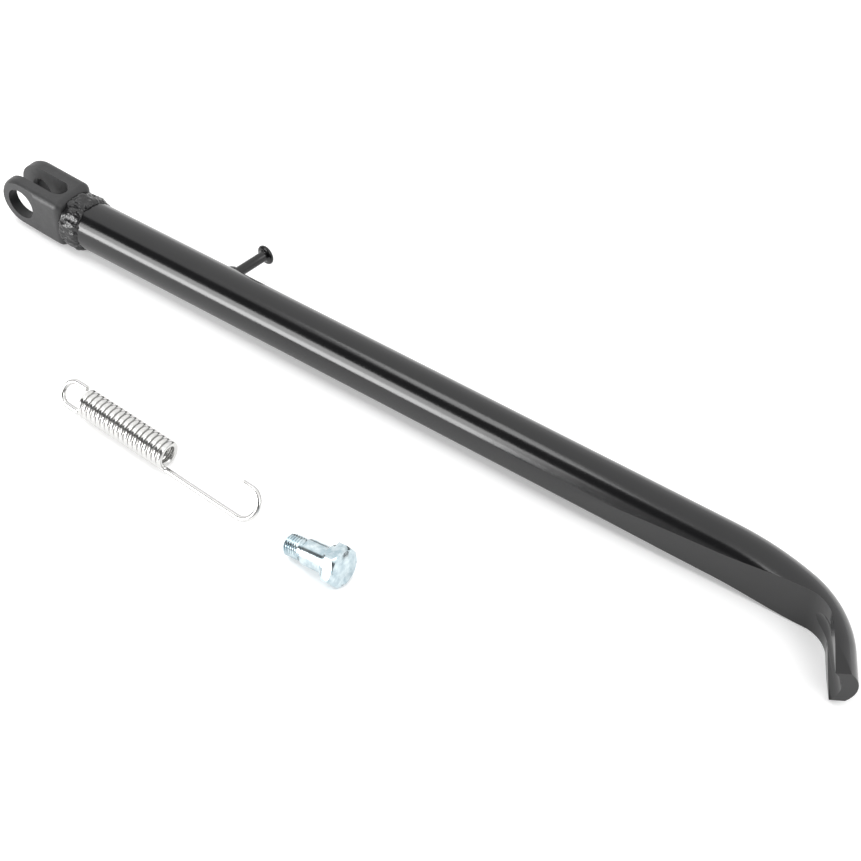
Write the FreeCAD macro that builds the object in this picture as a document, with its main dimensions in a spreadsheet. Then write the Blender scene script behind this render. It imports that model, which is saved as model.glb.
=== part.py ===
import FreeCAD, Part
import math
import os

import Sketcher

# Side stand kit for a motorcycle: a welded steel leg, its return spring and its pivot bolt.
# +X runs along the leg from the pivot to the foot, +Y is the pivot axis and points away from
# the side that carries the bolt's head, and +Z is up as the leg lies on a bench.
# The origin is on the pivot axis, in the leg's middle plane. Lengths are millimetres.

SIZES = {
    # leg tube and its pressed, bent foot
    "tube_diameter": 24.0,
    "tube_wall": 2.6,
    "tube_start": 28.0,
    "pivot_rise": 2.5,
    "press_start": 312.0,
    "press_depth": 5.0,
    "bend_start": 389.0,
    "bend_radius": 125.0,
    "bend_angle": 16.5,
    "elbow_radius": 39.0,
    "elbow_angle": 43.5,
    "foot_thickness": 10.0,
    "foot_length": 32.5,
    "foot_taper_start": 21.0,
    "foot_taper": 3.0,
    "foot_roll": 1.4,
    "cup_radius": 13.0,
    "cup_depth": 3.5,
    # clevis that straddles the lug on the motorcycle's frame
    "ear_radius": 13.0,
    "clevis_width": 24.0,
    "clevis_top": 11.5,
    "clevis_bottom": 15.0,
    "clevis_fillet": 5.0,
    "slot_width": 9.5,
    "slot_offset": 0.75,
    "slot_depth": 23.0,
    "spot_face_radius": 14.5,
    "spot_face_depth": 1.0,
    "collar_bore": 16.0,
    "countersink": 12.0,
    "weld_length": 8.0,
    "weld_height": 2.2,
    "weld_toe": 0.3,
    # stud that holds the spring's hook
    "post_position": 117.0,
    "post_lean": 8.0,
    "post_diameter": 5.0,
    "post_length": 19.5,
    "post_head_diameter": 10.0,
    "post_head_thickness": 2.2,
    "post_head_round": 0.8,
    "post_weld_diameter": 10.0,
    "post_weld_height": 3.0,
    # extension spring
    "wire_diameter": 2.6,
    "coil_radius": 5.6,
    "coil_gap": 0.3,
    "coil_turns": 18.0,
    "loop_length": 14.0,
    "loop_return": 6.0,
    "stub_length": 3.0,
    "arm_length": 44.3,
    "hook_radius": 7.0,
    "hook_tip": 5.0,
    "spring_x": 115.0,
    "spring_y": -87.5,
    "spring_yaw": 3.5,
    "spring_roll": 225.0,
    # pivot bolt
    "thread_diameter": 10.0,
    "thread_length": 8.0,
    "thread_chamfer": 1.0,
    "thread_depth": 0.6,
    "neck_relief": 0.8,
    "neck_length": 1.5,
    "shoulder_diameter": 11.9,
    "shoulder_chamfer": 0.8,
    "collar_length": 2.4,
    "collar_clearance": 0.1,
    "hex_flats": 17.0,
    "head_height": 5.0,
    "head_chamfer": 1.2,
    "bolt_x": 239.0,
    "bolt_y": -97.0,
}

doc = FreeCAD.newDocument("SideStand")
sheet = doc.addObject("Spreadsheet::Sheet", "sizes")
for row, (alias, value) in enumerate(SIZES.items(), start=1):
    sheet.set(f"A{row}", alias)
    sheet.set(f"B{row}", str(value))
    sheet.setAlias(f"B{row}", alias)
doc.recompute()


def size(expression):
    """Work out an expression of the sheet's cells as a number."""
    result = sheet.evalExpression(expression)
    return float(getattr(result, "Value", result))


def bind(item, **expressions):
    """Tie properties of a document object to the sheet."""
    for prop, expression in expressions.items():
        item.setExpression(prop, expression)
    return item


def turned(x, y, z, axis=(0, 0, 1), angle=0.0):
    """A placement from expressions for its position and a turn in degrees about an axis."""
    position = FreeCAD.Vector(size(x), size(y), size(z))
    return FreeCAD.Placement(position, FreeCAD.Rotation(FreeCAD.Vector(*axis), angle))


def add(kind, name, placement=None, **expressions):
    """Add a Part primitive with its sizes tied to the sheet."""
    item = bind(doc.addObject(kind, name), **expressions)
    if placement is not None:
        item.Placement = placement
    return item


def cylinder(name, radius, height, placement):
    return add("Part::Cylinder", name, placement, Radius=radius, Height=height)


def cone(name, low_radius, high_radius, height, placement):
    return add("Part::Cone", name, placement, Radius1=low_radius, Radius2=high_radius, Height=height)


def cut(name, base, tools):
    """Take one or more tools away from a base."""
    item = doc.addObject("Part::Cut", name)
    item.Base = base
    item.Tool = tools[0] if len(tools) == 1 else fuse(name + "_tools", tools)
    return item


def fuse(name, shapes):
    item = doc.addObject("Part::MultiFuse", name)
    item.Shapes = shapes
    return item


def common(name, shapes):
    item = doc.addObject("Part::MultiCommon", name)
    item.Shapes = shapes
    return item


def outline(name, points):
    """A closed polygon in a sketch on the XY plane, each corner tied to the sheet."""
    sketch = doc.addObject("Sketcher::SketchObject", name)
    corners = [FreeCAD.Vector(size(x), size(y), 0) for x, y in points]
    count = len(corners)
    for index in range(count):
        sketch.addGeometry(Part.LineSegment(corners[index], corners[(index + 1) % count]))
    for index in range(count):
        following = (index + 1) % count
        sketch.addConstraint(Sketcher.Constraint("Coincident", index, 2, following, 1))
    for index, (x, y) in enumerate(points):
        for kind, expression in (("DistanceX", x), ("DistanceY", y)):
            value = size(expression)
            constraint = sketch.addConstraint(Sketcher.Constraint(kind, -1, 1, index, 1, value))
            label = f"{kind}_{index}"
            sketch.renameConstraint(constraint, label)
            sketch.setExpression(f"Constraints.{label}", expression)
    return sketch


def extrusion(name, sketch, depth):
    """Push a sketch out by half the depth to each side of its plane."""
    item = doc.addObject("Part::Extrusion", name)
    item.Base = sketch
    item.DirMode = "Normal"
    item.Solid = True
    item.Symmetric = True
    return bind(item, LengthFwd=depth)


def sweep(name, section, spine, edges, frenet=False):
    item = doc.addObject("Part::Sweep", name)
    item.Sections = [section]
    item.Spine = (spine, edges)
    item.Solid = True
    item.Frenet = frenet
    return item


def rounded(name, base, radius, wanted):
    """Fillet the edges of a shape that a test picks out."""
    doc.recompute()
    item = doc.addObject("Part::Fillet", name)
    item.Base = base
    edges = enumerate(base.Shape.Edges, start=1)
    item.Edges = [(number, radius, radius) for number, edge in edges if wanted(edge)]
    return item


# Expressions that several pieces share

TUBE_RADIUS = "sizes.tube_diameter / 2"
BORE_RADIUS = "(sizes.tube_diameter / 2 - sizes.tube_wall)"
TUBE_HEIGHT = "-sizes.pivot_rise"
BENCH = "-sizes.clevis_bottom"
HALF_WIDTH = "sizes.clevis_width / 2"
NEAR_FACE = "(-sizes.clevis_width / 2 + sizes.spot_face_depth)"
SLOT_NEAR = "(-sizes.slot_offset - sizes.slot_width / 2)"
SLOT_FAR = "(-sizes.slot_offset + sizes.slot_width / 2)"
TAPPING_RADIUS = "(sizes.thread_diameter / 2 - sizes.thread_depth)"
NECK_RADIUS = "(sizes.thread_diameter / 2 - sizes.neck_relief)"
PITCH = "(sizes.wire_diameter + sizes.coil_gap)"
ALONG_Y = ((1, 0, 0), -90)
LEG_TURN = ((1, 0, 0), size("sizes.foot_roll"))

# The gentle bend runs into a tighter elbow, and the foot heads off at the sum of their angles.
FOOT_ANGLE = "(sizes.bend_angle + sizes.elbow_angle)"
FOOT_HEADING = FreeCAD.Rotation(FreeCAD.Vector(0, 0, 1), -size(FOOT_ANGLE))
ELBOW_X = "(sizes.bend_start + (sizes.bend_radius - sizes.elbow_radius) * sin(sizes.bend_angle))"
ELBOW_Y = ("(-sizes.bend_radius + (sizes.bend_radius - sizes.elbow_radius)"
           " * cos(sizes.bend_angle))")

# The foot's flat inner face stands this far from the centre of the elbow.
FLAT_RADIUS = f"(sizes.elbow_radius + {TUBE_RADIUS} - sizes.foot_thickness)"
LIP = f"({TUBE_RADIUS} - sizes.press_depth)"
CREASE_RUN = f"(({ELBOW_Y} + {FLAT_RADIUS} * cos({FOOT_ANGLE}) + {LIP}) / sin({FOOT_ANGLE}))"


def foot_point(along, out):
    """A point of the foot in plan: along its flat inner face, and out from it."""
    from_end = f"({CREASE_RUN} + {along})"
    x = f"{ELBOW_X} + ({FLAT_RADIUS} + {out}) * sin({FOOT_ANGLE}) + {from_end} * cos({FOOT_ANGLE})"
    y = f"{ELBOW_Y} + ({FLAT_RADIUS} + {out}) * cos({FOOT_ANGLE}) - {from_end} * sin({FOOT_ANGLE})"
    return x, y


def pressed_line(x, inset):
    """Where the slanted pressed face lies at a place along the tube, in plan."""
    crease_x = foot_point("0", "0")[0]
    return (f"-{TUBE_RADIUS} + {inset} + sizes.press_depth"
            f" * ({x} - sizes.press_start) / ({crease_x} - sizes.press_start)")


def clockwise_arc(start, from_angle, to_angle, radius):
    """An arc that leaves its start at one heading and ends at another, and its end."""
    def spoke(angle):
        return FreeCAD.Vector(math.sin(angle), math.cos(angle), 0) * radius

    centre = start - spoke(from_angle)
    end = centre + spoke(to_angle)
    return Part.Arc(start, centre + spoke((from_angle + to_angle) / 2), end), end


def leg_path():
    """The tube's centre line: straight, a gentle bend, a tighter elbow, then the foot."""
    sketch = doc.addObject("Sketcher::SketchObject", "leg_path")
    bend = math.radians(size("sizes.bend_angle"))
    heading = math.radians(size(FOOT_ANGLE))
    start = FreeCAD.Vector(size("sizes.bend_start"), 0, 0)
    gentle, middle = clockwise_arc(start, 0, bend, size("sizes.bend_radius"))
    elbow, end = clockwise_arc(middle, bend, heading, size("sizes.elbow_radius"))
    along_foot = FreeCAD.Vector(math.cos(heading), -math.sin(heading), 0)
    sketch.addGeometry(Part.LineSegment(FreeCAD.Vector(0, 0, 0), start))
    sketch.addGeometry(gentle)
    sketch.addGeometry(elbow)
    sketch.addGeometry(Part.LineSegment(end, end + along_foot * size("sizes.foot_length")))
    sketch.addConstraint(Sketcher.Constraint("Coincident", 0, 1, -1, 1))
    sketch.addConstraint(Sketcher.Constraint("Horizontal", 0))
    sketch.addConstraint(Sketcher.Constraint("Tangent", 0, 2, 1, 2))
    sketch.addConstraint(Sketcher.Constraint("Tangent", 1, 1, 2, 2))
    sketch.addConstraint(Sketcher.Constraint("Tangent", 2, 1, 3, 1))
    named = {
        "straight": ("DistanceX", (0, 1, 0, 2), "sizes.bend_start"),
        "bend": ("Radius", (1,), "sizes.bend_radius"),
        "elbow": ("Radius", (2,), "sizes.elbow_radius"),
        "foot": ("Distance", (3,), "sizes.foot_length"),
        "bend_drop": ("DistanceY", (-1, 1, 1, 1), "sizes.bend_radius * (cos(sizes.bend_angle) - 1)"),
        "elbow_drop": ("DistanceY", (-1, 1, 2, 1), f"{ELBOW_Y} + sizes.elbow_radius * cos({FOOT_ANGLE})"),
    }
    for name, (kind, places, expression) in named.items():
        constraint = Sketcher.Constraint(kind, *places, size(expression))
        sketch.renameConstraint(sketch.addConstraint(constraint), name)
        sketch.setExpression(f"Constraints.{name}", expression)
    return sketch


def make_leg_tube():
    """Round tube, pressed flat towards the bend, with a solid cupped foot."""
    along_x = turned("0", "0", "0", (0, 1, 0), 90)
    circle = add("Part::Circle", "tube_circle", along_x, Radius=TUBE_RADIUS)
    round_form = sweep("leg_round_form", circle, leg_path(), ["Edge1", "Edge2", "Edge3", "Edge4"])
    beyond = "sizes.tube_diameter * 2"
    plan = outline("leg_plan", [
        ("sizes.tube_start", pressed_line("sizes.tube_start", "0")),
        foot_point("0", "0"),
        foot_point("sizes.foot_length", "0"),
        foot_point("sizes.foot_length", beyond),
        (foot_point("0", beyond)[0], beyond),
        ("sizes.tube_start", beyond),
    ])
    outside = common("leg_outside", [round_form, extrusion("leg_trim", plan, beyond)])

    # The hollow ends at the bend, where the walls are pressed together.
    bore = cylinder("leg_bore", BORE_RADIUS, "sizes.bend_start", along_x)
    bore_plan = outline("bore_plan", [
        ("-1", pressed_line("-1", "sizes.tube_wall")),
        ("sizes.bend_start + 1", pressed_line("sizes.bend_start + 1", "sizes.tube_wall")),
        ("sizes.bend_start + 1", beyond),
        ("-1", beyond),
    ])
    hollow = common("leg_hollow", [bore, extrusion("bore_trim", bore_plan, beyond)])

    # The cup is a shallow groove that starts at the crease and is deepest at the foot's end.
    tilt = math.degrees(math.atan(size("sizes.cup_depth / sizes.foot_length")))
    cup_x, cup_y = foot_point("0", "-sizes.cup_radius")
    cup = cylinder("foot_cup", "sizes.cup_radius", "sizes.foot_length * 2", turned(cup_x, cup_y, "0"))
    lengthways = FreeCAD.Rotation(FreeCAD.Vector(0, 1, 0), 90)
    cup.Placement.Rotation = FreeCAD.Rotation(FreeCAD.Vector(0, 0, 1), tilt) * FOOT_HEADING * lengthways

    leg = cut("leg_tube", outside, [hollow, cup] + foot_corners())
    leg.Placement = turned("0", "0", TUBE_HEIGHT, *LEG_TURN)
    return leg


def foot_corners():
    """Blocks that taper the foot's end from above and from below."""
    half_height = f"sqrt(pow({TUBE_RADIUS}; 2) - pow({TUBE_RADIUS} - sizes.foot_thickness; 2))"
    tapered = size("sizes.foot_length - sizes.foot_taper_start")
    slope = math.degrees(math.atan(size("sizes.foot_taper") / tapered))
    x, y = foot_point("sizes.foot_taper_start", "0")
    lip = turned("0", "-sizes.tube_diameter", half_height, (0, 1, 0), slope)
    blocks = []
    for name, roll in (("foot_top_corner", 0), ("foot_bottom_corner", 180)):
        place = turned(x, y, "0")
        place.Rotation = FOOT_HEADING * FreeCAD.Rotation(FreeCAD.Vector(1, 0, 0), roll)
        blocks.append(add("Part::Box", name, place * lip, Length="sizes.foot_length",
                          Width="sizes.tube_diameter * 2", Height="sizes.tube_diameter"))
    return blocks


def make_clevis():
    """Fork with a plain near ear, a tapped far ear and a round-bottomed slot between them."""
    through = "sizes.clevis_width * 2"
    profile = outline("clevis_profile", [
        ("0", "sizes.ear_radius"),
        ("sizes.tube_start", "sizes.clevis_top"),
        ("sizes.tube_start", "-sizes.clevis_bottom"),
        ("0", "-sizes.ear_radius"),
    ])
    block = extrusion("clevis_block", profile, "sizes.clevis_width")
    block.Placement = turned("0", "0", "0", (1, 0, 0), 90)
    near = f"-{HALF_WIDTH}"
    ear = cylinder("clevis_ear", "sizes.ear_radius", "sizes.clevis_width", turned("0", near, "0", *ALONG_Y))
    solid = fuse("clevis_solid", [block, ear])

    def is_long_edge(edge):
        box = edge.BoundBox
        straight = isinstance(edge.Curve, Part.Line)
        return straight and box.YLength < 0.01 and box.XLength > size("sizes.tube_start / 2")

    smooth = rounded("clevis_smooth", solid, size("sizes.clevis_fillet"), is_long_edge)

    cutter = "sizes.slot_width / 2"
    slot_bottom = "sizes.slot_depth - sizes.slot_width / 2"
    slot = add("Part::Box", "slot", turned("-sizes.ear_radius * 2", SLOT_NEAR, "-sizes.clevis_width"),
               Length=f"sizes.ear_radius * 2 + {slot_bottom}", Width="sizes.slot_width", Height=through)
    slot_end = cylinder("slot_end", cutter, through,
                        turned(slot_bottom, "-sizes.slot_offset", "-sizes.clevis_width"))
    outside = f"-{HALF_WIDTH} - sizes.clevis_width"
    spot_face = cylinder("spot_face", "sizes.spot_face_radius", "sizes.clevis_width + sizes.spot_face_depth",
                         turned("0", outside, "0", *ALONG_Y))
    collar_bore = cylinder("collar_bore", "sizes.collar_bore / 2", "sizes.clevis_width",
                           turned("0", f"{SLOT_NEAR} - sizes.clevis_width", "0", *ALONG_Y))
    tapped = cylinder("tapped_hole", TAPPING_RADIUS, "sizes.clevis_width",
                      turned("0", "0", "0", *ALONG_Y))
    sink = cone("countersink_cone", "sizes.countersink / 2", TAPPING_RADIUS,
                f"sizes.countersink / 2 - {TAPPING_RADIUS}", turned("0", SLOT_FAR, "0", *ALONG_Y))
    return cut("pivot_clevis", smooth, [slot, slot_end, spot_face, collar_bore, tapped, sink])


def make_clevis_weld():
    """Fillet bead round the tube where it butts against the clevis."""
    along_x = ((0, 1, 0), 90)
    bead = cone("weld_cone", f"{TUBE_RADIUS} + sizes.weld_height", f"{TUBE_RADIUS} + sizes.weld_toe",
                "sizes.weld_length", turned("sizes.tube_start", "0", TUBE_HEIGHT, *along_x))
    tube = cylinder("weld_inside", TUBE_RADIUS, "sizes.weld_length * 3",
                    turned("sizes.tube_start - sizes.weld_length", "0", TUBE_HEIGHT, *along_x))
    below = turned("0", "-sizes.tube_diameter", f"{BENCH} - sizes.weld_length")
    bench = add("Part::Box", "weld_underside", below, Length="sizes.tube_start * 2",
                Width="sizes.tube_diameter * 2", Height="sizes.weld_length")
    return cut("clevis_weld", bead, [tube, bench])


def post_frame(out):
    """A placement on the post's axis, its Z pointing out of the tube, at a distance along it."""
    lean = math.radians(size("sizes.post_lean"))
    direction = FreeCAD.Vector(math.sin(lean), math.cos(lean), 0)
    surface = FreeCAD.Vector(size("sizes.post_position"), size(TUBE_RADIUS), size(TUBE_HEIGHT))
    turn = FreeCAD.Rotation(FreeCAD.Vector(0, 0, 1), direction)
    return FreeCAD.Placement(surface + direction * out, turn)


def tube_cutter(name):
    """The tube's outer surface, to shape what is welded on to it."""
    return cylinder(name, TUBE_RADIUS, "sizes.bend_start", turned("0", "0", TUBE_HEIGHT, (0, 1, 0), 90))


def make_post():
    """Headed stud that the spring hooks over."""
    root = -size(TUBE_RADIUS) / 2
    shaft = cylinder("post_shaft", "sizes.post_diameter / 2", f"sizes.post_length + {TUBE_RADIUS} / 2",
                     post_frame(root))
    head = cylinder("post_head", "sizes.post_head_diameter / 2", "sizes.post_head_thickness",
                    post_frame(size("sizes.post_length")))
    head = rounded("post_head_round", head, size("sizes.post_head_round"),
                   lambda edge: isinstance(edge.Curve, Part.Circle))
    return cut("spring_post", fuse("post_stud", [shaft, head]), [tube_cutter("post_seat")])


def make_post_weld():
    """Small bead round the stud's root."""
    root = -size("sizes.post_weld_height")
    bead = cone("post_bead", "sizes.post_weld_diameter / 2", "sizes.post_diameter / 2 + sizes.weld_toe",
                "sizes.post_weld_height * 2", post_frame(root))
    shaft = cylinder("post_bead_inside", "sizes.post_diameter / 2", "sizes.post_length",
                     post_frame(root * 2))
    return cut("spring_post_weld", bead, [shaft, tube_cutter("post_bead_seat")])


def spring_placement():
    """The spring's own Z runs along its coils; its X points to the side that the arm leaves."""
    yaw = FreeCAD.Rotation(FreeCAD.Vector(0, 0, 1), -size("sizes.spring_yaw"))
    angle = math.radians(size("sizes.spring_roll"))
    across = FreeCAD.Vector(0, math.cos(angle), math.sin(angle))
    along = FreeCAD.Vector(1, 0, 0)
    roll = FreeCAD.Rotation(across, along.cross(across), along, "ZXY")
    lift = size(f"{BENCH} + sizes.coil_radius + sizes.wire_diameter / 2")
    position = FreeCAD.Vector(size("sizes.spring_x"), size("sizes.spring_y"), lift)
    return FreeCAD.Placement(position, yaw * roll)


def wire_path(name, corners, bend):
    """A wire in the plane of the spring's hooks: straight, half a turn, straight."""
    start, turn_start, turn_end, end = (FreeCAD.Vector(x, 0, z) for x, z in corners)
    top = (turn_start + turn_end) / 2 + FreeCAD.Vector(0, 0, bend)
    item = doc.addObject("Part::Feature", name)
    edges = [Part.LineSegment(start, turn_start), Part.Arc(turn_start, top, turn_end),
             Part.LineSegment(turn_end, end)]
    item.Shape = Part.Wire([edge.toShape() for edge in edges])
    return item


def wire_section(name, x, z):
    return add("Part::Circle", name, turned(str(x), "0", str(z)), Radius="sizes.wire_diameter / 2")


def make_spring():
    """Close-wound coil with a full loop at one end, and an arm with a hook at the other."""
    place = spring_placement()
    radius = size("sizes.coil_radius")
    length = size(f"{PITCH} * sizes.coil_turns")
    helix = bind(doc.addObject("Part::Helix", "coil_helix"), Radius="sizes.coil_radius",
                 Pitch=PITCH, Height=f"{PITCH} * sizes.coil_turns")
    section = add("Part::Circle", "coil_section", Radius="sizes.wire_diameter / 2")
    section.Placement = FreeCAD.Placement(FreeCAD.Vector(radius, 0, 0),
                                          FreeCAD.Rotation(FreeCAD.Vector(1, 0, 0), 90))
    turns = sweep("coil_turns_sweep", section, helix, ["Edge1"], frenet=True)

    # Each end turns out of the coil at a knuckle, a ball of the wire's own thickness.
    knuckles = []
    for name, z in (("loop_knuckle", 0.0), ("arm_knuckle", length)):
        ball = add("Part::Sphere", name, Radius="sizes.wire_diameter / 2")
        ball.Placement = FreeCAD.Placement(FreeCAD.Vector(radius, 0, z), FreeCAD.Rotation())
        knuckles.append(ball)

    bend_z = radius - size("sizes.loop_length")
    loop_end = bend_z + size("sizes.loop_return")
    loop_path = wire_path("loop_path", [(radius, 0), (radius, bend_z), (-radius, bend_z),
                                        (-radius, loop_end)], -radius)
    loop = sweep("loop_sweep", wire_section("loop_section", radius, 0), loop_path,
                 ["Edge1", "Edge2", "Edge3"])
    stub_end = length + size("sizes.stub_length")
    stub = cylinder("arm_stub", "sizes.wire_diameter / 2", "sizes.stub_length",
                    turned(str(radius), "0", str(length)))
    coil = fuse("spring_coil", [turns, loop, stub] + knuckles)
    coil.Placement = place

    hook = size("sizes.hook_radius")
    hook_z = length + size("sizes.arm_length")
    far = radius - 2 * hook
    arm_path = wire_path("arm_path", [(radius, stub_end), (radius, hook_z), (far, hook_z),
                                      (far, hook_z - size("sizes.hook_tip"))], hook)
    arm = sweep("spring_arm", wire_section("arm_section", radius, stub_end), arm_path,
                ["Edge1", "Edge2", "Edge3"])
    arm.Placement = place
    return [coil, arm]


def revolved(name, points):
    """A solid turned about the X axis from a half outline of (along, radius) corners."""
    item = doc.addObject("Part::Revolution", name)
    item.Source = outline(name + "_outline", points)
    item.Axis = FreeCAD.Vector(1, 0, 0)
    item.Base = FreeCAD.Vector(0, 0, 0)
    item.Solid = True
    return item


NECK_START = "sizes.thread_length"
SHOULDER_START = f"({NECK_START} + sizes.neck_length)"
SHOULDER_LENGTH = f"({SLOT_FAR} - {NEAR_FACE} - sizes.collar_length)"
COLLAR_START = f"({SHOULDER_START} + {SHOULDER_LENGTH})"
HEAD_START = f"({COLLAR_START} + sizes.collar_length)"
HEAD_END = f"({HEAD_START} + sizes.head_height)"


def make_bolt():
    """Shoulder bolt: thread, neck, shoulder that the lug turns on, collar and hexagon head."""
    thread = "sizes.thread_diameter / 2"
    shoulder = "sizes.shoulder_diameter / 2"
    collar = "(sizes.collar_bore / 2 - sizes.collar_clearance)"
    shank = revolved("bolt_shank", [
        ("0", "0"),
        ("0", f"{thread} - sizes.thread_chamfer"),
        ("sizes.thread_chamfer", thread),
        (NECK_START, thread),
        (NECK_START, NECK_RADIUS),
        (SHOULDER_START, NECK_RADIUS),
        (SHOULDER_START, f"{shoulder} - sizes.shoulder_chamfer"),
        (f"{SHOULDER_START} + sizes.shoulder_chamfer", shoulder),
        (COLLAR_START, shoulder),
        (COLLAR_START, collar),
        (f"{HEAD_START} + sizes.head_chamfer", collar),
        (f"{HEAD_START} + sizes.head_chamfer", "0"),
    ])
    corner = "(sizes.hex_flats / 2 / cos(30))"
    hexagon = add("Part::Prism", "hexagon", Circumradius=corner, Height="sizes.head_height")
    hexagon.Polygon = 6
    flat_down = FreeCAD.Rotation(FreeCAD.Vector(0, 0, 1), 30)
    hexagon.Placement = turned(HEAD_START, "0", "0", (0, 1, 0), 90)
    hexagon.Placement.Rotation = hexagon.Placement.Rotation * flat_down
    chamfer = revolved("head_chamfer_form", [
        (f"{HEAD_START} - 1", "0"),
        (f"{HEAD_START} - 1", f"{corner} * 2"),
        (HEAD_START, f"{corner} + (sizes.head_height - sizes.head_chamfer / 2) / tan(30)"),
        (HEAD_END, "sizes.hex_flats / 2 - sizes.head_chamfer / 2"),
        (HEAD_END, "0"),
    ])
    bolt = fuse("pivot_bolt", [shank, common("bolt_head", [hexagon, chamfer])])

    # It lies on the start of its thread and on one flat of its head.
    rise = size(f"sizes.hex_flats / 2 - {thread}")
    tilt = math.atan(rise / size(f"{HEAD_START} - sizes.thread_chamfer"))
    lift = size(thread) * math.cos(tilt) - size("sizes.thread_chamfer") * math.sin(tilt)
    height = size(BENCH) + lift
    tipped = FreeCAD.Rotation(FreeCAD.Vector(0, 1, 0), -math.degrees(tilt))
    position = FreeCAD.Vector(size("sizes.bolt_x"), size("sizes.bolt_y"), height)
    bolt.Placement = FreeCAD.Placement(position, tipped)
    return bolt


pieces = [make_leg_tube(), make_clevis(), make_clevis_weld(), make_post(), make_post_weld()]
pieces += make_spring()
pieces.append(make_bolt())
doc.recompute()

for item in doc.Objects:
    if "Invalid" in item.State or "Error" in item.State:
        raise RuntimeError(f"{item.Name} did not recompute: {item.State}")
for piece in pieces:
    shape = piece.Shape
    if shape.isNull() or not shape.isValid() or len(shape.Solids) != 1:
        raise RuntimeError(f"{piece.Label} is not one valid solid")

os.makedirs("parts", exist_ok=True)
for piece in pieces:
    piece.Shape.exportStep(f"parts/{piece.Label}.step")
    box = piece.Shape.BoundBox
    print(f"{piece.Label}: {piece.Shape.Volume:.0f} mm3, x {box.XMin:.1f} to {box.XMax:.1f},"
          f" y {box.YMin:.1f} to {box.YMax:.1f}, z {box.ZMin:.1f} to {box.ZMax:.1f}")
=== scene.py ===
import math

import bpy
from mathutils import Matrix, Vector


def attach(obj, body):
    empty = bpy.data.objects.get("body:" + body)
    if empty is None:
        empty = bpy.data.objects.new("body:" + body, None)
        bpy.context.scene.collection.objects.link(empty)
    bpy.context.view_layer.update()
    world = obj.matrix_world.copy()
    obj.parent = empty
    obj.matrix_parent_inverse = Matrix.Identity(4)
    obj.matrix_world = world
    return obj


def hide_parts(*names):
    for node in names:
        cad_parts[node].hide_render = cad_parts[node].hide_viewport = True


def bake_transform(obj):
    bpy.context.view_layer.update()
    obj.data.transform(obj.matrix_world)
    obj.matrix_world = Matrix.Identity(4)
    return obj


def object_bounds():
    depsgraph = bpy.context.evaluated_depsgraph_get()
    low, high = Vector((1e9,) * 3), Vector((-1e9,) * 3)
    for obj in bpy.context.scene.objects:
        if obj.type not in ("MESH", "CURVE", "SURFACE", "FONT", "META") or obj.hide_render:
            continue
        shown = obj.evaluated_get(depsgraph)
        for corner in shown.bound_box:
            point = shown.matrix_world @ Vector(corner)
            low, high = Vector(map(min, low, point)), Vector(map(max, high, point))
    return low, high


# Looks for a motorcycle's side stand kit: black leg, bright return spring, zinc-plated pivot bolt.
# Metres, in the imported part's frame: +X from the pivot to the foot, +Y the pivot axis, +Z up.

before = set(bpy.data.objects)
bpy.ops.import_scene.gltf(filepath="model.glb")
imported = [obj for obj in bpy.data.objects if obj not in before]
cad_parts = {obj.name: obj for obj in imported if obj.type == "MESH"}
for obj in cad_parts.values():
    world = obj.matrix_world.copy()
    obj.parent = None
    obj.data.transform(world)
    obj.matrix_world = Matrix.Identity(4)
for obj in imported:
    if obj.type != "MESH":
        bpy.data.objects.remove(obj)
CAD_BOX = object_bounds()
MM = 0.001

# Leg
TUBE_RADIUS = 12.0 * MM
TUBE_START = 28.0 * MM
TUBE_DROP = 2.5 * MM
PRESS_START = 312.0 * MM
PRESS_DEPTH = 5.0 * MM
BEND_START = 389.0 * MM
BEND_RADIUS = 125.0 * MM
BEND_ANGLE = math.radians(16.5)
ELBOW_RADIUS = 39.0 * MM
ELBOW_ANGLE = math.radians(43.5)
FOOT_ANGLE = BEND_ANGLE + ELBOW_ANGLE
FOOT_LENGTH = 32.5 * MM
FOOT_THICKNESS = 10.0 * MM
FOOT_TAPER_START = 21.0 * MM
FOOT_TAPER = 3.0 * MM
FOOT_ROLL = math.radians(1.4)
CREASE_ROUND = 9.0 * MM
CUP_RADIUS = 13.0 * MM
CUP_DEPTH = 3.5 * MM

# Clevis
EAR_RADIUS = 13.0 * MM
CLEVIS_HALF = 12.0 * MM
CLEVIS_TOP = 11.5 * MM
SLOT_NEAR = -5.5 * MM
SLOT_FAR = 4.0 * MM
SLOT_DEPTH = 23.0 * MM
SPOT_FACE_RADIUS = 14.5 * MM
SPOT_FACE_DEPTH = 1.0 * MM
COLLAR_BORE = 16.0 * MM
TAPPING_BORE = 8.8 * MM
COUNTERSINK = 12.0 * MM

# Weld beads
BEAD_THICKNESS = 2.2 * MM
BEAD_LENGTH = 12.5 * MM
BEAD_GRAIN = 3.2 * MM
BEAD_LUMPS = 2.4 * MM

# Spring stud
POST_X = 117.0 * MM
POST_LEAN = math.radians(8.0)
POST_RADIUS = 2.5 * MM
POST_LENGTH = 19.5 * MM
POST_ROOT = 3.5 * MM
POST_HEAD_RADIUS = 5.0 * MM
POST_HEAD_ROUND = 1.1 * MM
POST_NECK_FLARE = 0.9 * MM
POST_HEAD_TOP = 2.35 * MM

# Return spring
WIRE = 2.6 * MM
COIL_RADIUS = 5.6 * MM
COIL_PITCH = 2.9 * MM
COIL_TURNS = 18
LOOP_LENGTH = 14.0 * MM
LOOP_RETURN = 6.0 * MM
ARM_LENGTH = 44.3 * MM
HOOK_RADIUS = 7.0 * MM
HOOK_TIP = 5.0 * MM
SPRING_X = 115.0 * MM
SPRING_Y = -87.5 * MM
SPRING_YAW = math.radians(-3.5)
SPRING_ROLL = math.radians(225.0)

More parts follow.
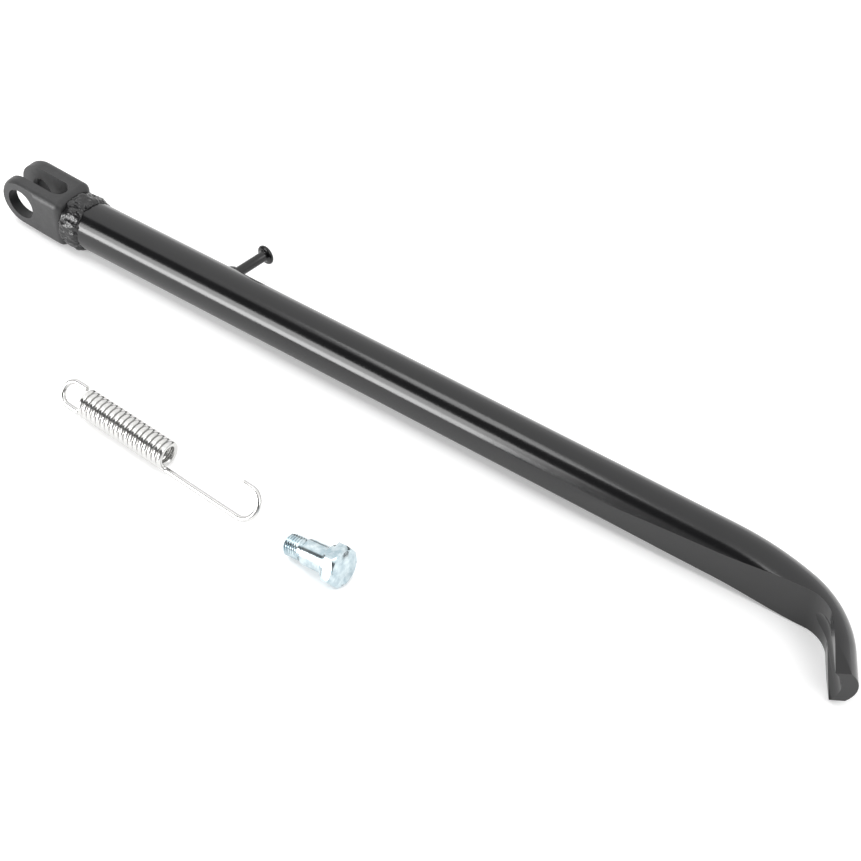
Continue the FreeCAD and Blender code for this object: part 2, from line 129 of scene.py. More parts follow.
# Pivot bolt
BOLT_X = 239.0 * MM
BOLT_Y = -97.0 * MM
THREAD_RADIUS = 5.0 * MM
THREAD_LENGTH = 8.0 * MM
THREAD_PITCH = 1.25 * MM
NECK_RADIUS = 4.2 * MM
NECK_LENGTH = 1.5 * MM
SHOULDER_RADIUS = 5.95 * MM
SHOULDER_LENGTH = 12.6 * MM
COLLAR_RADIUS = 7.9 * MM
COLLAR_LENGTH = 2.4 * MM
HEX_FLATS = 17.0 * MM
HEAD_HEIGHT = 5.0 * MM
TIP_CHAMFER = 1.0 * MM
SHOULDER_CHAMFER = 0.8 * MM
SHANK_FILLET = 0.5 * MM
COLLAR_CHAMFER = 0.4 * MM

# Stage
FLOOR_SIZE = 12.0
FLOOR_GLOW = 0.2
ROOM_STRENGTH = 1.35
LENS = 75.9
SENSOR = 36.0
CAMERA_PLACE = (0.5744, -0.4589, 0.5646)
CAMERA_TILT = math.radians(44.0)
CAMERA_TURN = math.radians(36.0)

BENCH = CAD_BOX[0][2]
ALONG_X = Matrix.Rotation(math.radians(90), 4, "Y")
ALONG_Y = Matrix.Rotation(math.radians(-90), 4, "X")


# ---------------------------------------------------------------- modelling

def only(*objects):
    """Select just these objects, the first of them active."""
    if bpy.context.mode != "OBJECT":
        bpy.ops.object.mode_set(mode="OBJECT")
    bpy.ops.object.select_all(action="DESELECT")
    for item in objects:
        item.select_set(True)
    bpy.context.view_layer.objects.active = objects[0] if objects else None


def named(name):
    """Name the object that an operator has just added."""
    item = bpy.context.object
    item.name = name
    item.data.name = name
    return item


def settle(item, matrix):
    """Put a piece in its place and leave the place in its mesh."""
    bpy.context.view_layer.update()
    item.matrix_world = matrix @ item.matrix_world
    only(item)
    bpy.ops.object.transform_apply(location=True, rotation=True, scale=True)
    return item


def outward(item, weld=0.001 * MM):
    """Weld doubled points and turn every face outwards."""
    only(item)
    bpy.ops.object.mode_set(mode="EDIT")
    bpy.ops.mesh.select_all(action="SELECT")
    bpy.ops.mesh.remove_doubles(threshold=weld)
    bpy.ops.mesh.normals_make_consistent(inside=False)
    bpy.ops.object.mode_set(mode="OBJECT")
    return item


def apply_modifier(item, kind, **settings):
    """Add a modifier, set it and apply it."""
    only(item)
    modifier = item.modifiers.new(kind.title(), kind)
    for key, value in settings.items():
        setattr(modifier, key, value)
    bpy.ops.object.modifier_apply(modifier=modifier.name)
    return item


def carve(item, *tools, operation="DIFFERENCE"):
    """Cut tools out of a piece, or join or keep what they share, and throw the tools away."""
    for tool in tools:
        apply_modifier(item, "BOOLEAN", object=tool, operation=operation, solver="EXACT")
        bpy.data.objects.remove(tool)
    return item


def soften(item, width, sharper_than=30.0, segments=3):
    """Round the sharp edges and shade the piece smooth, flat faces staying flat."""
    apply_modifier(item, "BEVEL", width=width, segments=segments, limit_method="ANGLE",
                   angle_limit=math.radians(sharper_than), use_clamp_overlap=True, miter_outer="MITER_ARC")
    only(item)
    bpy.ops.object.shade_smooth_by_angle(angle=math.radians(sharper_than))
    return apply_modifier(item, "WEIGHTED_NORMAL", keep_sharp=True, weight=80)


def turned_piece(name, stations, sides=96):
    """Turn a solid about +Z: a disc is drawn up through (height, radius) stations."""
    height, radius = stations[0]
    only()
    bpy.ops.mesh.primitive_circle_add(vertices=sides, radius=radius, fill_type="NGON",
                                      location=(0, 0, height))
    item = named(name)
    bpy.ops.object.transform_apply(location=True)
    bpy.ops.object.mode_set(mode="EDIT")
    bpy.ops.mesh.select_all(action="SELECT")
    for next_height, next_radius in stations[1:]:
        bpy.ops.mesh.extrude_region_move(TRANSFORM_OT_translate={"value": (0, 0, next_height - height)})
        scale = next_radius / radius
        bpy.ops.transform.resize(value=(scale, scale, 1), center_override=(0, 0, next_height))
        height, radius = next_height, next_radius
    return outward(item)


def rod(name, radius, low, high, matrix, sides=96):
    return settle(turned_piece(name, [(low, radius), (high, radius)], sides), matrix)


def block(name, low, high, matrix=Matrix.Identity(4)):
    """A box between two corners."""
    low, high = Vector(low), Vector(high)
    only()
    bpy.ops.mesh.primitive_cube_add(size=1, location=(low + high) / 2)
    item = named(name)
    item.scale = high - low
    return settle(item, matrix)


def lumpy(item, grain, height):
    """Push a surface in and out by a cloudy pattern of a given grain."""
    texture = bpy.data.textures.new(item.name + "_lumps", type="CLOUDS")
    texture.noise_scale = grain
    texture.noise_depth = 2
    return apply_modifier(item, "DISPLACE", texture=texture, strength=height, mid_level=0.5,
                          texture_coords="LOCAL")


# ---------------------------------------------------------------- leg

def elbow_centre():
    """The gentle bend runs into the tighter elbow, whose centre lies on the same spoke."""
    between = BEND_RADIUS - ELBOW_RADIUS
    return Vector((BEND_START + between * math.sin(BEND_ANGLE),
                   -BEND_RADIUS + between * math.cos(BEND_ANGLE), 0))


def foot_point(along, out):
    """A point of the foot in plan: along its flat inner face, and out from it."""
    heading = Vector((math.cos(FOOT_ANGLE), -math.sin(FOOT_ANGLE), 0))
    outward_way = Vector((math.sin(FOOT_ANGLE), math.cos(FOOT_ANGLE), 0))
    flat = elbow_centre() + outward_way * (ELBOW_RADIUS + TUBE_RADIUS - FOOT_THICKNESS)
    lip = TUBE_RADIUS - PRESS_DEPTH
    crease = flat + heading * ((flat.y + lip) / math.sin(FOOT_ANGLE))
    return crease + heading * along + outward_way * out


def make_leg():
    """One tube: straight, bent twice, pressed flat on its inner side, its foot cupped and trimmed."""
    leg = turned_piece("leg", [(TUBE_START, TUBE_RADIUS), (BEND_START, TUBE_RADIUS)], sides=160)
    settle(leg, ALONG_X)
    only(leg)
    bpy.ops.object.mode_set(mode="EDIT")
    bpy.ops.mesh.select_mode(type="FACE")
    bpy.ops.mesh.select_all(action="DESELECT")
    bpy.ops.object.mode_set(mode="OBJECT")
    for face in leg.data.polygons:
        face.select = face.center.x > BEND_START - MM and face.normal.x > 0.9
    bpy.ops.object.mode_set(mode="EDIT")
    bpy.ops.mesh.spin(steps=10, angle=BEND_ANGLE, center=(BEND_START, -BEND_RADIUS, 0), axis=(0, 0, 1))
    bpy.ops.mesh.spin(steps=22, angle=ELBOW_ANGLE, center=elbow_centre(), axis=(0, 0, 1))
    heading = Vector((math.cos(FOOT_ANGLE), -math.sin(FOOT_ANGLE), 0))
    bpy.ops.mesh.extrude_region_move(TRANSFORM_OT_translate={"value": heading * FOOT_LENGTH * 2})
    outward(leg)

    # A wedge takes away all that lies inside the elbow. Its edge is rounded, so that the pressed
    # face runs into the foot's inner face in a curve.
    crease = foot_point(0, 0)
    press_from = Vector((PRESS_START, -TUBE_RADIUS, 0))
    reach = 200 * MM
    wedge = block("elbow_wedge", (PRESS_START - reach / 4, -reach, -reach / 4),
                  (PRESS_START + reach, reach / 4, reach / 4))
    only(wedge)
    bpy.ops.object.mode_set(mode="EDIT")
    for start, end in ((press_from, crease), (crease, foot_point(FOOT_LENGTH, 0))):
        along = (end - start).normalized()
        bpy.ops.mesh.select_all(action="SELECT")
        bpy.ops.mesh.bisect(plane_co=start, plane_no=(-along.y, along.x, 0), use_fill=True, clear_outer=True)
    outward(wedge)
    only(wedge)
    bpy.ops.object.mode_set(mode="EDIT")
    bpy.ops.mesh.select_mode(type="EDGE")
    bpy.ops.mesh.select_all(action="DESELECT")
    bpy.ops.object.mode_set(mode="OBJECT")
    corners = wedge.data.vertices
    for edge in wedge.data.edges:
        middle = (corners[edge.vertices[0]].co + corners[edge.vertices[1]].co) / 2
        edge.select = math.hypot(middle.x - crease.x, middle.y - crease.y) < MM
    bpy.ops.object.mode_set(mode="EDIT")
    bpy.ops.mesh.bevel(offset=CREASE_ROUND, segments=12, affect="EDGES")
    outward(wedge)
    carve(leg, wedge)

    # The foot's end is square to it, its corners are tapered, and its inner face is cupped.
    turn = Matrix.Rotation(-FOOT_ANGLE, 4, "Z")
    end = Matrix.Translation(foot_point(FOOT_LENGTH, 0)) @ turn
    carve(leg, block("foot_end_cut", (0, -reach / 4, -reach / 4), (reach / 2, reach / 4, reach / 4), end))
    half_height = math.sqrt(TUBE_RADIUS ** 2 - (TUBE_RADIUS - FOOT_THICKNESS) ** 2)
    slope = math.atan(FOOT_TAPER / (FOOT_LENGTH - FOOT_TAPER_START))
    for side, roll in (("top", 0), ("bottom", math.pi)):
        place = (Matrix.Translation(foot_point(FOOT_TAPER_START, 0)) @ turn @ Matrix.Rotation(roll, 4, "X")
                 @ Matrix.Translation((0, 0, half_height)) @ Matrix.Rotation(slope, 4, "Y"))
        carve(leg, block(f"foot_{side}_cut", (0, -TUBE_RADIUS * 2, 0),
                         (FOOT_LENGTH, TUBE_RADIUS * 2, TUBE_RADIUS), place))
    tilt = Matrix.Rotation(math.atan(CUP_DEPTH / FOOT_LENGTH), 4, "Z")
    cup_start = foot_point(CREASE_ROUND, CREASE_ROUND * CUP_DEPTH / FOOT_LENGTH - CUP_RADIUS)
    dome = [math.radians(5 * step) for step in range(1, 18)]
    stations = [(-CUP_RADIUS * math.cos(angle), CUP_RADIUS * math.sin(angle)) for angle in dome]
    cup = turned_piece("foot_cup", stations + [(0, CUP_RADIUS), (FOOT_LENGTH * 2, CUP_RADIUS)], sides=160)
    carve(leg, settle(cup, Matrix.Translation(cup_start) @ tilt @ turn @ ALONG_X))

    soften(leg, 0.9 * MM, sharper_than=24.0, segments=4)
    settle(leg, Matrix.Translation((0, 0, -TUBE_DROP)) @ Matrix.Rotation(FOOT_ROLL, 4, "X"))
    return leg


# ---------------------------------------------------------------- clevis and welds

def make_clevis():
    """Forged fork: a plain near ear with a spot face, a tapped far ear, and a slot between."""
    body = rod("clevis", EAR_RADIUS, -CLEVIS_HALF, CLEVIS_HALF, ALONG_Y)
    root = block("clevis_root", (TUBE_START, -CLEVIS_HALF, BENCH), (TUBE_START, CLEVIS_HALF, CLEVIS_TOP))
    only(body, root)
    bpy.ops.object.join()
    bpy.ops.object.mode_set(mode="EDIT")
    bpy.ops.mesh.select_all(action="SELECT")
    bpy.ops.mesh.remove_doubles(threshold=0.01 * MM)
    bpy.ops.mesh.convex_hull()
    bpy.ops.mesh.dissolve_limited(angle_limit=math.radians(0.5))
    outward(body)
    soften(body, 4.0 * MM, sharper_than=60.0, segments=8)

    slot_radius = (SLOT_FAR - SLOT_NEAR) / 2
    slot_middle = (SLOT_FAR + SLOT_NEAR) / 2
    slot_bottom = SLOT_DEPTH - slot_radius
    reach = 30 * MM
    slot = block("slot", (-reach, SLOT_NEAR, -reach), (slot_bottom, SLOT_FAR, reach))
    slot_end = rod("slot_end", slot_radius, -reach, reach, Matrix.Translation((slot_bottom, slot_middle, 0)))
    near = -CLEVIS_HALF + SPOT_FACE_DEPTH
    spot_face = rod("spot_face", SPOT_FACE_RADIUS, -reach, near, ALONG_Y)
    collar = rod("collar_bore", COLLAR_BORE / 2, -reach, 0, ALONG_Y)
    tapped = rod("tapped_hole", TAPPING_BORE / 2, 0, reach, ALONG_Y)
    sink_depth = (COUNTERSINK - TAPPING_BORE) / 2
    sink = turned_piece("countersink", [(SLOT_FAR - sink_depth, COUNTERSINK / 2 + sink_depth),
                                        (SLOT_FAR + sink_depth, TAPPING_BORE / 2)])
    settle(sink, ALONG_Y)
    carve(body, slot, slot_end, spot_face, collar, tapped, sink)
    outward(body, weld=0.03 * MM)
    return soften(body, 0.45 * MM, sharper_than=35.0, segments=3)


def bead(name, ring_radius, thickness, length, matrix, grain, height):
    """A weld bead round a joint: a ring, drawn out along its axis and made lumpy."""
    only()
    bpy.ops.mesh.primitive_torus_add(major_radius=ring_radius, minor_radius=thickness,
                                     major_segments=180, minor_segments=28)
    item = named(name)
    item.scale = (1, 1, length / (2 * thickness))
    settle(item, matrix)
    lumpy(item, grain, height)
    lumpy(item, grain / 3, height / 3)
    only(item)
    bpy.ops.object.shade_smooth()
    return item


def make_clevis_bead():
    place = Matrix.Translation((TUBE_START + 4.5 * MM, 0, -TUBE_DROP)) @ ALONG_X
    item = bead("clevis_bead", TUBE_RADIUS - 0.3 * MM, BEAD_THICKNESS, BEAD_LENGTH, place,
                BEAD_GRAIN, BEAD_LUMPS)
    only(item)
    bpy.ops.object.mode_set(mode="EDIT")
    bpy.ops.mesh.select_all(action="SELECT")
    bpy.ops.mesh.bisect(plane_co=(0, 0, BENCH), plane_no=(0, 0, -1), use_fill=True, clear_outer=True)
    return outward(item)


def post_matrix():
    """The stud's axis, with +Z pointing out of the tube from its surface."""
    root = Matrix.Translation((POST_X, TUBE_RADIUS, -TUBE_DROP))
    return root @ Matrix.Rotation(-POST_LEAN, 4, "Z") @ ALONG_Y


def make_post():
    """Upset stud: a shaft and a domed, rounded head."""
    top = POST_LENGTH
    stations = [(-POST_ROOT, POST_RADIUS), (top - POST_NECK_FLARE, POST_RADIUS),
                (top - 0.25 * MM, POST_RADIUS + 0.25 * MM), (top, POST_RADIUS + POST_NECK_FLARE)]
    for step in range(7):
        angle = math.radians(-90 + 30 * step)
        stations.append((top + POST_HEAD_ROUND * (1 + math.sin(angle)),
                         POST_HEAD_RADIUS - POST_HEAD_ROUND * (1 - math.cos(angle))))
    stations += [(top + POST_HEAD_TOP, 2.4 * MM), (top + POST_HEAD_TOP + 0.07 * MM, 0.8 * MM)]
    post = settle(turned_piece("stud", stations, sides=48), post_matrix())
    only(post)
    bpy.ops.object.shade_smooth_by_angle(angle=math.radians(50))
    return post


def make_post_bead():
    place = post_matrix() @ Matrix.Translation((0, 0, 0.2 * MM))
    return bead("stud_bead", 2.9 * MM, 1.5 * MM, 4.0 * MM, place, 1.8 * MM, 1.0 * MM)


# ---------------------------------------------------------------- spring

def spring_matrix():
    """The coil's axis as +Z, with +X to the side that the arm leaves."""
    lift = BENCH + COIL_RADIUS + WIRE / 2
    yaw = Matrix.Rotation(SPRING_YAW, 4, "Z")
    along = Vector((1, 0, 0))
    across = Vector((0, math.cos(SPRING_ROLL), math.sin(SPRING_ROLL)))
    axes = Matrix((across, along.cross(across), along)).transposed().to_4x4()
    return Matrix.Translation((SPRING_X, SPRING_Y, lift)) @ yaw @ axes


def spring_line():
    """The wire's centre line from the loop's end, through the coil, to the hook's tip."""
    step = 1.3 * MM
    bend = COIL_RADIUS - LOOP_LENGTH
    points = []
    for part in range(5):
        points.append(Vector((-COIL_RADIUS, 0, bend + LOOP_RETURN * (1 - part / 5))))
    for part in range(19):
        angle = math.pi * part / 18
        points.append(Vector((-COIL_RADIUS * math.cos(angle), 0, bend - COIL_RADIUS * math.sin(angle))))
    straight = int(-bend / step)
    for part in range(1, straight):
        points.append(Vector((COIL_RADIUS, 0, bend - bend * part / straight)))
    per_turn = 24
    for part in range(1, COIL_TURNS * per_turn):
        angle = 2 * math.pi * part / per_turn
        points.append(Vector((COIL_RADIUS * math.cos(angle), COIL_RADIUS * math.sin(angle),
                              COIL_PITCH * part / per_turn)))
    coil_end = COIL_PITCH * COIL_TURNS
    straight = int(ARM_LENGTH / step)
    for part in range(1, straight + 1):
        points.append(Vector((COIL_RADIUS, 0, coil_end + ARM_LENGTH * part / straight)))
    middle = COIL_RADIUS - HOOK_RADIUS
    for part in range(1, 19):
        angle = math.pi * part / 18
        points.append(Vector((middle + HOOK_RADIUS * math.cos(angle), 0,
                              coil_end + ARM_LENGTH + HOOK_RADIUS * math.sin(angle))))
    points.append(Vector((middle - HOOK_RADIUS, 0, coil_end + ARM_LENGTH - HOOK_TIP / 2)))
    points.append(Vector((middle - HOOK_RADIUS, 0, coil_end + ARM_LENGTH - HOOK_TIP)))
    return points


def make_spring():
    """One length of drawn wire, swept along its centre line and given squared-off ends."""
    only()
    bpy.ops.curve.primitive_nurbs_path_add()
    item = named("spring")
    curve = item.data
    curve.splines.clear()
    points = spring_line()
    spline = curve.splines.new("NURBS")
    spline.points.add(len(points) - 1)
    for point, place in zip(spline.points, points):
        point.co = (*place, 1)
    spline.order_u = 4
    spline.use_endpoint_u = True
    spline.resolution_u = 3
    curve.twist_mode = "MINIMUM"
    curve.bevel_depth = WIRE / 2
    curve.bevel_resolution = 6
    curve.use_fill_caps = True
    only(item)
    bpy.ops.object.convert(target="MESH")
    outward(item)
    only(item)
    bpy.ops.object.shade_smooth_by_angle(angle=math.radians(50))
    return settle(item, spring_matrix())


# ---------------------------------------------------------------- bolt

def bolt_lengths():
    """Where each part of the bolt begins along its axis, from the thread's tip."""
    neck = THREAD_LENGTH
    shoulder = neck + NECK_LENGTH
    collar = shoulder + SHOULDER_LENGTH
    head = collar + COLLAR_LENGTH
    return neck, shoulder, collar, head


def make_thread(neck):
    """The threaded tip: a fine-ringed rod whose rings are drawn into a helical groove."""
    rings = 64
    stations = [(0.0, THREAD_RADIUS - TIP_CHAMFER)]
    for ring in range(rings + 1):
        along = neck * ring / rings
        stations.append((along + 1e-6, THREAD_RADIUS - max(0.0, TIP_CHAMFER - along)))
    stations.append((neck + 2 * MM, NECK_RADIUS * 0.9))
    tip = turned_piece("thread", stations, sides=72)
    depth = 0.613 * THREAD_PITCH
    for vertex in tip.data.vertices:
        radius = math.hypot(vertex.co.x, vertex.co.y)
        if radius < NECK_RADIUS * 0.95 or vertex.co.z > neck + 0.5 * MM:
            continue
        turns = vertex.co.z / THREAD_PITCH - math.atan2(vertex.co.y, vertex.co.x) / (2 * math.pi)
        groove = 1 - abs(2 * (turns % 1) - 1)
        fade = min(1.0, (neck - vertex.co.z) / THREAD_PITCH + 0.15)
        wanted = THREAD_RADIUS - depth * min(1.0, max(0.0, groove * 1.25 - 0.12)) * max(0.0, fade)
        if radius > wanted:
            vertex.co.x *= wanted / radius
            vertex.co.y *= wanted / radius
    return tip


def make_bolt():
    neck, shoulder, collar, head = bolt_lengths()
    shank = turned_piece("bolt", [
        (neck - 1.5 * MM, NECK_RADIUS * 0.85),
        (neck - 0.4 * MM, NECK_RADIUS),
        (shoulder - SHANK_FILLET, NECK_RADIUS),
        (shoulder, NECK_RADIUS + SHANK_FILLET),
        (shoulder, SHOULDER_RADIUS - SHOULDER_CHAMFER),
        (shoulder + SHOULDER_CHAMFER, SHOULDER_RADIUS),
        (collar - SHANK_FILLET, SHOULDER_RADIUS),
        (collar, SHOULDER_RADIUS + SHANK_FILLET),
        (collar, COLLAR_RADIUS - COLLAR_CHAMFER),
        (collar + COLLAR_CHAMFER, COLLAR_RADIUS),
        (head + MM, COLLAR_RADIUS),
    ])
    soften(shank, 0.12 * MM, sharper_than=25.0, segments=2)

    # The head is a hexagon whose corners are turned off on the outer side.
    corner = HEX_FLATS / 2 / math.cos(math.radians(30))
    only()
    bpy.ops.mesh.primitive_cylinder_add(vertices=6, radius=corner, depth=HEAD_HEIGHT,
                                        location=(0, 0, head + HEAD_HEIGHT / 2))
    hexagon = settle(named("bolt_head"), Matrix.Identity(4))
    top = head + HEAD_HEIGHT
    crown = turned_piece("crown", [(head - MM, corner * 1.3), (top - 2.6 * MM, corner * 1.12),
                                   (top, HEX_FLATS / 2 - 0.5 * MM), (top + 0.01 * MM, MM)])
    carve(hexagon, crown, operation="INTERSECT")
    soften(hexagon, 0.35 * MM, sharper_than=20.0, segments=3)
    carve(shank, hexagon, make_thread(neck), operation="UNION")
    only(shank)
    bpy.ops.object.shade_smooth_by_angle(angle=math.radians(32))

    # It lies on the start of its thread and on one flat of its head.
    tilt = math.atan((HEX_FLATS / 2 - THREAD_RADIUS) / (head - TIP_CHAMFER))
    lift = BENCH + THREAD_RADIUS * math.cos(tilt) - TIP_CHAMFER * math.sin(tilt)
    place = Matrix.Translation((BOLT_X, BOLT_Y, lift)) @ Matrix.Rotation(-tilt, 4, "Y") @ ALONG_X
    return settle(shank, place)


# ---------------------------------------------------------------- materials

def colour(code):
    """An sRGB hex colour as linear RGBA."""
    parts = [int(code[place:place + 2], 16) / 255 for place in (1, 3, 5)]
    return (*[part / 12.92 if part <= 0.04045 else ((part + 0.055) / 1.055) ** 2.4 for part in parts], 1)


def node(tree, kind, settings=None, **inputs):
    """Add a node. An input is a value, or the output of another node; _ in its name is a space."""
    item = tree.nodes.new(kind)
    for key, value in (settings or {}).items():
        setattr(item, key, value)
    for key, value in inputs.items():
        socket = item.inputs[int(key[1:])] if key[1:].isdigit() else item.inputs[key.replace("_", " ")]
        if isinstance(value, bpy.types.NodeSocket):
            tree.links.new(value, socket)
        else:
            socket.default_value = value
    return item


def surface(name):
    """A new material with its tree, its shader and its coordinates on the piece."""
    material = bpy.data.materials.new(name)
    material.use_nodes = True
    tree = material.node_tree
    shader = tree.nodes["Principled BSDF"]
    place = node(tree, "ShaderNodeTexCoord").outputs["Object"]
    return material, tree, shader, place


def ramp(tree, factor, low, high, low_at=0.0, high_at=1.0):
    """Spread a factor between two colours or greys."""
    item = node(tree, "ShaderNodeValToRGB", Fac=factor)
    item.color_ramp.elements[0].position = low_at
    item.color_ramp.elements[0].color = low
    item.color_ramp.elements[1].position = high_at
    item.color_ramp.elements[1].color = high
    return item.outputs["Color"]


def grey(value):
    return (value, value, value, 1)


def make_black_coat():
    """Gloss black stoving paint on steel tube: deep black, sharp highlights, faint orange peel."""
    material, tree, shader, place = surface("gloss_black_stoving_paint")
    # Orange peel has a wavelength of about 2.5 mm; brush-fine dust nibs are under half a millimetre.
    peel = node(tree, "ShaderNodeTexNoise", Vector=place, Scale=1 / (2.5 * MM), Detail=2.0, Roughness=0.45)
    waves = node(tree, "ShaderNodeTexNoise", Vector=place, Scale=1 / (14 * MM), Detail=1.0)
    nibs = node(tree, "ShaderNodeTexNoise", Vector=place, Scale=1 / (0.5 * MM), Detail=2.0)
    nib_height = ramp(tree, nibs.outputs["Fac"], grey(0), grey(1), 0.66, 0.78)
    bump = node(tree, "ShaderNodeBump", Strength=0.10, Distance=0.12 * MM, Height=peel.outputs["Fac"])
    bump = node(tree, "ShaderNodeBump", Strength=0.25, Distance=0.05 * MM, Height=nib_height,
                Normal=bump.outputs["Normal"])
    tree.links.new(bump.outputs["Normal"], shader.inputs["Normal"])
    tree.links.new(ramp(tree, waves.outputs["Fac"], colour("#0b0b0c"), colour("#121213")),
                   shader.inputs["Base Color"])
    tree.links.new(ramp(tree, waves.outputs["Fac"], grey(0.13), grey(0.19)), shader.inputs["Roughness"])
    shader.inputs["IOR"].default_value = 1.5
    return material


def make_forged_coat():
    """The same paint over a forging: the scale's texture shows through, so it is satin and greyer."""
    material, tree, shader, place = surface("black_paint_on_forging")
    # Scale pits are about 0.7 mm across, with larger hammer marks of 5 mm.
    pits = node(tree, "ShaderNodeTexNoise", Vector=place, Scale=1 / (0.7 * MM), Detail=3.0, Roughness=0.6)
    marks = node(tree, "ShaderNodeTexNoise", Vector=place, Scale=1 / (5 * MM), Detail=2.0)
    bump = node(tree, "ShaderNodeBump", Strength=0.35, Distance=0.12 * MM, Height=pits.outputs["Fac"])
    bump = node(tree, "ShaderNodeBump", Strength=0.4, Distance=0.4 * MM, Height=marks.outputs["Fac"],
                Normal=bump.outputs["Normal"])
    tree.links.new(bump.outputs["Normal"], shader.inputs["Normal"])
    tree.links.new(ramp(tree, marks.outputs["Fac"], colour("#1c1c1d"), colour("#2b2b2c")),
                   shader.inputs["Base Color"])
    tree.links.new(ramp(tree, pits.outputs["Fac"], grey(0.38), grey(0.55)), shader.inputs["Roughness"])
    shader.inputs["IOR"].default_value = 1.55
    return material


def make_bead_coat():
    """Thick wet-looking paint over weld ripples: black, with bright sparks on the lumps."""
    material, tree, shader, place = surface("black_paint_on_weld")
    ripples = node(tree, "ShaderNodeTexNoise", Vector=place, Scale=1 / (1.4 * MM), Detail=2.0)
    bump = node(tree, "ShaderNodeBump", Strength=0.7, Distance=0.5 * MM, Height=ripples.outputs["Fac"])
    tree.links.new(bump.outputs["Normal"], shader.inputs["Normal"])
    tree.links.new(ramp(tree, ripples.outputs["Fac"], colour("#0d0d0e"), colour("#1d1d1e")),
                   shader.inputs["Base Color"])
    shader.inputs["Roughness"].default_value = 0.16
    shader.inputs["IOR"].default_value = 1.5
    return material


def make_spring_wire():
    """Drawn spring wire with a bright plating: near-white metal with hard dark reflections."""
    material, tree, shader, place = surface("bright_plated_spring_wire")
    draw = node(tree, "ShaderNodeTexNoise", Vector=place, Scale=1 / (1.2 * MM), Detail=2.0)
    bump = node(tree, "ShaderNodeBump", Strength=0.08, Distance=0.05 * MM, Height=draw.outputs["Fac"])
    tree.links.new(bump.outputs["Normal"], shader.inputs["Normal"])
    tree.links.new(ramp(tree, draw.outputs["Fac"], colour("#c4c4c3"), colour("#dddcda")),
                   shader.inputs["Base Color"])
    tree.links.new(ramp(tree, draw.outputs["Fac"], grey(0.12), grey(0.22)), shader.inputs["Roughness"])
    shader.inputs["Metallic"].default_value = 1.0
    return material


def make_zinc():
    """Blue passivated zinc plate on turned steel: pale blue-white metal, slightly clouded."""
    material, tree, shader, place = surface("blue_passivated_zinc_plate")
    # The passivate clouds over about 3 mm, and plating grain is about a third of a millimetre.
    clouds = node(tree, "ShaderNodeTexNoise", Vector=place, Scale=1 / (3 * MM), Detail=2.0)
    grain = node(tree, "ShaderNodeTexNoise", Vector=place, Scale=1 / (0.35 * MM), Detail=2.0)
    bump = node(tree, "ShaderNodeBump", Strength=0.15, Distance=0.04 * MM, Height=grain.outputs["Fac"])
    tree.links.new(bump.outputs["Normal"], shader.inputs["Normal"])
    tree.links.new(ramp(tree, clouds.outputs["Fac"], colour("#a4b6be"), colour("#d2dde0"), 0.3, 0.7),
                   shader.inputs["Base Color"])
    tree.links.new(ramp(tree, clouds.outputs["Fac"], grey(0.14), grey(0.24)), shader.inputs["Roughness"])
    shader.inputs["Metallic"].default_value = 1.0
    return material


def dress(item, material, body, replaced):
    """Give a piece its finish and its body, and hide the CAD nodes that it stands for."""
    item.data.materials.clear()
    item.data.materials.append(material)
    if body:
        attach(item, body)
    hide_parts(*replaced)


gloss = make_black_coat()
forged = make_forged_coat()
on_weld = make_bead_coat()
dress(make_leg(), gloss, "stand", ["leg_tube"])
dress(make_clevis(), forged, "stand", ["pivot_clevis"])
dress(make_clevis_bead(), on_weld, "stand", ["clevis_weld"])
dress(make_post(), gloss, "stand", ["spring_post"])
dress(make_post_bead(), on_weld, "stand", ["spring_post_weld"])
dress(make_bolt(), make_zinc(), "pivot_bolt_body", ["pivot_bolt"])
spring = make_spring()
dress(spring, make_spring_wire(), None, ["spring_coil", "spring_arm"])
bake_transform(spring)


# ---------------------------------------------------------------- stage

def make_floor():
    """A wide white floor, glowing a little so that it stays white beside the leg."""
    only()
    bpy.ops.mesh.primitive_plane_add(size=FLOOR_SIZE, location=(0.2, 0, BENCH))
    floor = named("floor")
    material, tree, shader, place = surface("white_paper_floor")
    shader.inputs["Base Color"].default_value = colour("#f8f8f8")
    shader.inputs["Emission Color"].default_value = colour("#ffffff")
    shader.inputs["Emission Strength"].default_value = FLOOR_GLOW
    shader.inputs["Roughness"].default_value = 0.9
    shader.inputs["Specular IOR Level"].default_value = 0.1
    floor.data.materials.append(material)


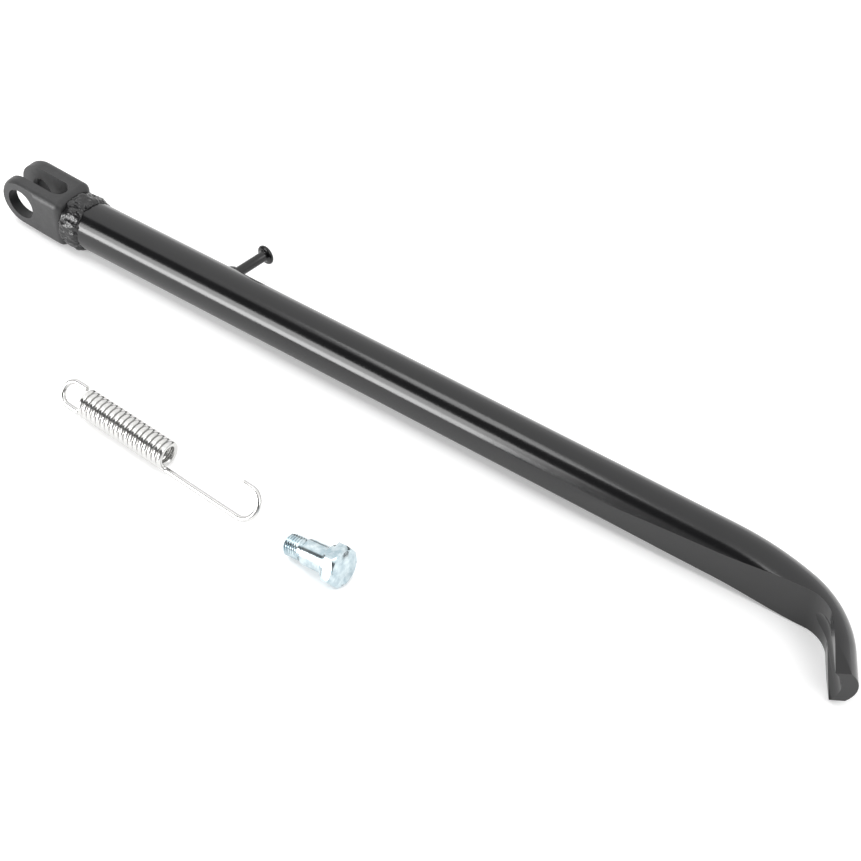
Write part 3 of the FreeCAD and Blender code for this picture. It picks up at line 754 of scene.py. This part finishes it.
def make_sky():
    """Soft room light: bright beyond the leg and overhead, with a dark band high on the near side."""
    world = bpy.data.worlds.new("studio_room")
    bpy.context.scene.world = world
    world.use_nodes = True
    tree = world.node_tree
    direction = node(tree, "ShaderNodeTexCoord").outputs["Generated"]
    parts = node(tree, "ShaderNodeSeparateXYZ", Vector=direction)
    angle = node(tree, "ShaderNodeMath", {"operation": "ARCTAN2"}, _0=parts.outputs["Z"],
                 _1=parts.outputs["Y"])
    share = node(tree, "ShaderNodeMath", {"operation": "DIVIDE"}, _0=angle.outputs[0], _1=math.pi)
    bands = node(tree, "ShaderNodeValToRGB", Fac=share.outputs[0])
    stops = bands.color_ramp
    stops.elements[0].position = 0.0
    stops.elements[0].color = grey(0.8)
    stops.elements[1].position = 0.36
    stops.elements[1].color = grey(1.0)
    for position, value in ((0.58, 1.0), (0.62, 0.10), (0.75, 0.08), (0.80, 0.35), (1.0, 0.45)):
        stops.elements.new(position).color = grey(value)
    background = tree.nodes["Background"]
    tree.links.new(bands.outputs["Color"], background.inputs["Color"])
    background.inputs["Strength"].default_value = ROOM_STRENGTH


def softbox(name, place, target, width, height, watts):
    """A rectangular light aimed at a point."""
    light = bpy.data.lights.new(name, "AREA")
    light.shape = "RECTANGLE"
    light.size = width
    light.size_y = height
    light.energy = watts
    item = bpy.data.objects.new(name, light)
    bpy.context.scene.collection.objects.link(item)
    item.location = place
    item.rotation_euler = (Vector(target) - Vector(place)).to_track_quat("-Z", "Y").to_euler()


def make_lights():
    # Two panels at the near left, the low one brighter, give the leg its long highlight in two tones.
    # They end where its mirror image would reach the pressed part.
    softbox("near_panel_high", (-0.50, -1.0, 0.52), (-0.50, 0, 0.52), 0.78, 0.43, 7.0)
    softbox("near_panel_low", (-0.50, -1.0, 0.15), (-0.50, 0, 0.15), 0.78, 0.31, 10.4)
    # A narrow strip overhead gives the thin highlight along the right half of the leg.
    softbox("top_strip", (-0.20, -0.17, 1.1), (0.25, 0, 0), 0.36, 0.28, 1.5)
    # A broad soft light beyond the foot's end lifts the floor without showing in the straight tube.
    softbox("end_fill", (1.3, -0.2, 1.2), (0.25, 0, 0), 0.8, 0.8, 5)


def make_camera():
    """Long lens above the foot's end of the leg, looking back along it."""
    camera = bpy.data.cameras.new("camera")
    camera.lens = LENS
    camera.sensor_width = SENSOR
    item = bpy.data.objects.new("camera", camera)
    bpy.context.scene.collection.objects.link(item)
    item.location = CAMERA_PLACE
    item.rotation_euler = (CAMERA_TILT, 0, CAMERA_TURN)
    bpy.context.scene.camera = item


bpy.context.scene.view_settings.view_transform = "Standard"
make_floor()
make_sky()
make_lights()
make_camera()
